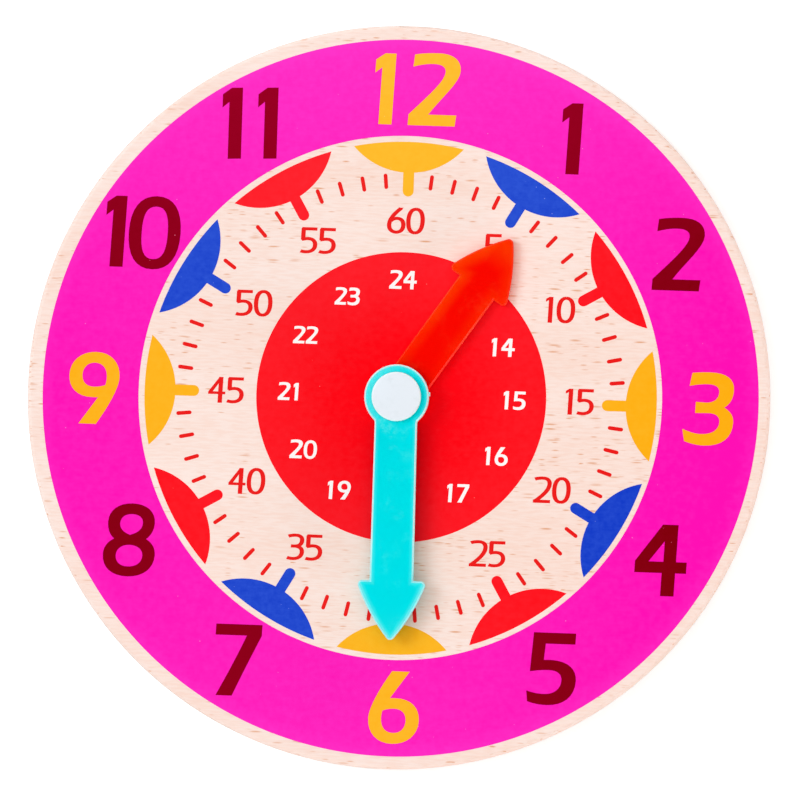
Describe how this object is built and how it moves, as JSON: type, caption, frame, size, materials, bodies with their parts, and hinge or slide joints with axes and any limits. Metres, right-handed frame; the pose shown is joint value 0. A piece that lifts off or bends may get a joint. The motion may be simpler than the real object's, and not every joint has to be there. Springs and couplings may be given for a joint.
{
  "type": "wooden teaching clock",
  "caption": "Round flat wooden clock dial with two arrow-shaped plastic hands that turn by hand on a central snap rivet, for learning to tell the time.",
  "frame": {"origin": "centre of the board's back face", "axes": "+Z out of the dial, +Y towards the twelve, +X towards the three; the clock lies on its back"},
  "size_m": [0.15, 0.15, 0.0113],
  "materials": {
    "beech_plywood": "sanded, clear matt lacquer, printed on the front",
    "white_plastic": "satin moulded",
    "washer_plastic": "milky film",
    "clear_red_plastic": "clear orange-red, polished",
    "clear_blue_plastic": "clear light blue, polished",
    "dial_print": "screen-printed ink in several colours"
  },
  "bodies": {
    "board": {"dial_board": "beech_plywood", "rivet_socket": "white_plastic", "rivet_pin": "white_plastic", "lower_washer": "washer_plastic", "upper_washer": "washer_plastic"},
    "hour_hand": {"hour_hand": "clear_red_plastic"},
    "minute_hand": {"minute_hand": "clear_blue_plastic"}
  },
  "joints": [
    {"name": "hour_hand_turn", "type": "hinge", "parent": "board", "child": "hour_hand", "pos_m": [0, 0, 0.00635], "axis": [0, 0, -1], "continuous": true},
    {"name": "minute_hand_turn", "type": "hinge", "parent": "board", "child": "minute_hand", "pos_m": [0, 0, 0.00865], "axis": [0, 0, -1], "continuous": true}
  ]
}
